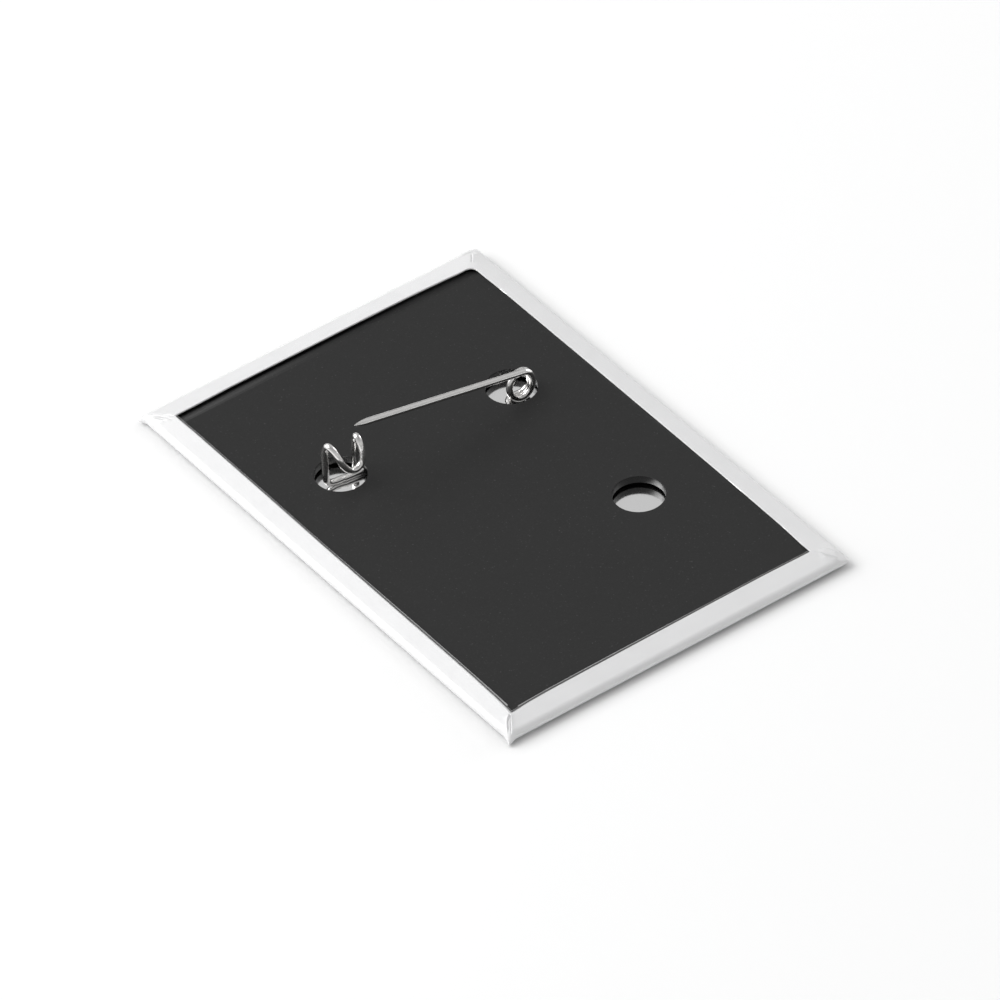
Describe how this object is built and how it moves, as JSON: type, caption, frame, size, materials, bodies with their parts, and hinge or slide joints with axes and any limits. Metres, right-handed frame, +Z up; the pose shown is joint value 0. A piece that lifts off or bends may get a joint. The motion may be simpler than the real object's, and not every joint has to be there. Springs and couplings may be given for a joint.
{
  "type": "pin badge",
  "caption": "Rectangular pressed-metal badge with a printed wrap folded over a plastic back plate and a sprung wire pin with a bent wire catch.",
  "frame": {"origin": "centre of the badge's front face, which lies on the table", "axes": "+X across the badge from the catch to the coil, +Y along the badge toward the pin's end, +Z up out of the back"},
  "size_m": [0.053, 0.078, 0.0125],
  "materials": {
    "film": "clear gloss film",
    "paper": "white coated paper",
    "tinplate": "bright satin tinplate",
    "plate": "black satin moulding",
    "wire": "nickel plated wire"
  },
  "bodies": {
    "badge": {"clear_film": "film", "printed_wrap": "paper", "front_shell": "tinplate", "back_plate": "plate", "base_wire": "wire", "spring_coil": "wire"},
    "pin": {"pin_arm": "wire"}
  },
  "joints": [
    {"name": "pin_swing", "type": "hinge", "parent": "badge", "child": "pin", "pos_m": [0.0133, 0.0117, 0.0031], "axis": [0, 1, 0], "range_deg": [-20, 20], "stiffness_Nm_per_rad": 0.02, "deforming": ["spring_coil"]}
  ]
}
